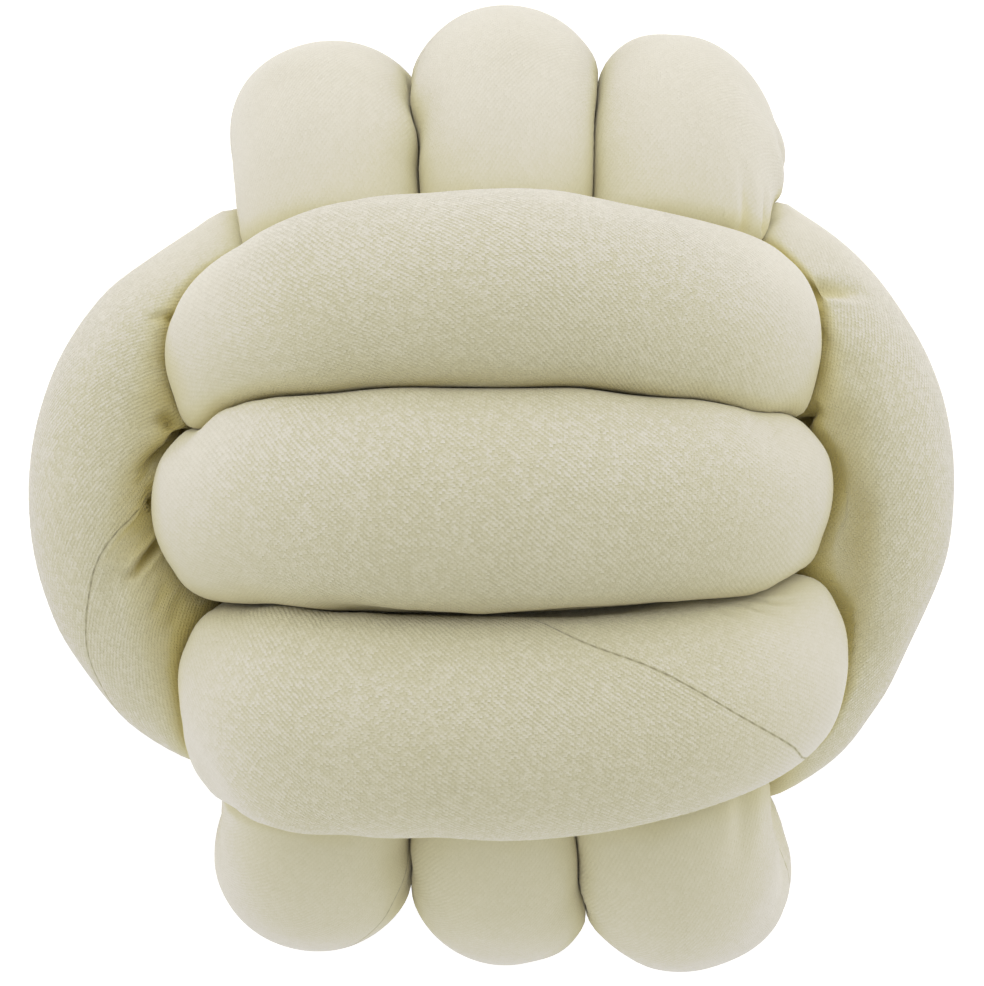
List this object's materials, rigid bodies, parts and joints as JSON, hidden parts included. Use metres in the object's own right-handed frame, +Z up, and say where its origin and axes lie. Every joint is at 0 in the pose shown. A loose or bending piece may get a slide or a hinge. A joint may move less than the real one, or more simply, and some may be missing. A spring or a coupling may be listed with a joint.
{
  "type": "knot cushion",
  "caption": "Ball-shaped cushion: one long stuffed tube of cream stretch knit, wound round and through itself as a tight knot of broad soft strands.",
  "frame": {"origin": "on the surface that the cushion lies on, under the middle of its box", "axes": "+Z up out of the face with three strands lying side by side, +Y along the coil whose turns stand out above and below that face, +X along those three strands"},
  "size_m": [0.2692, 0.2852, 0.2668],
  "materials": {
    "cream_knit": "matt, fine stretch knit"
  },
  "bodies": {
    "root": {"knot_tube": "cream_knit"}
  },
  "joints": []
}
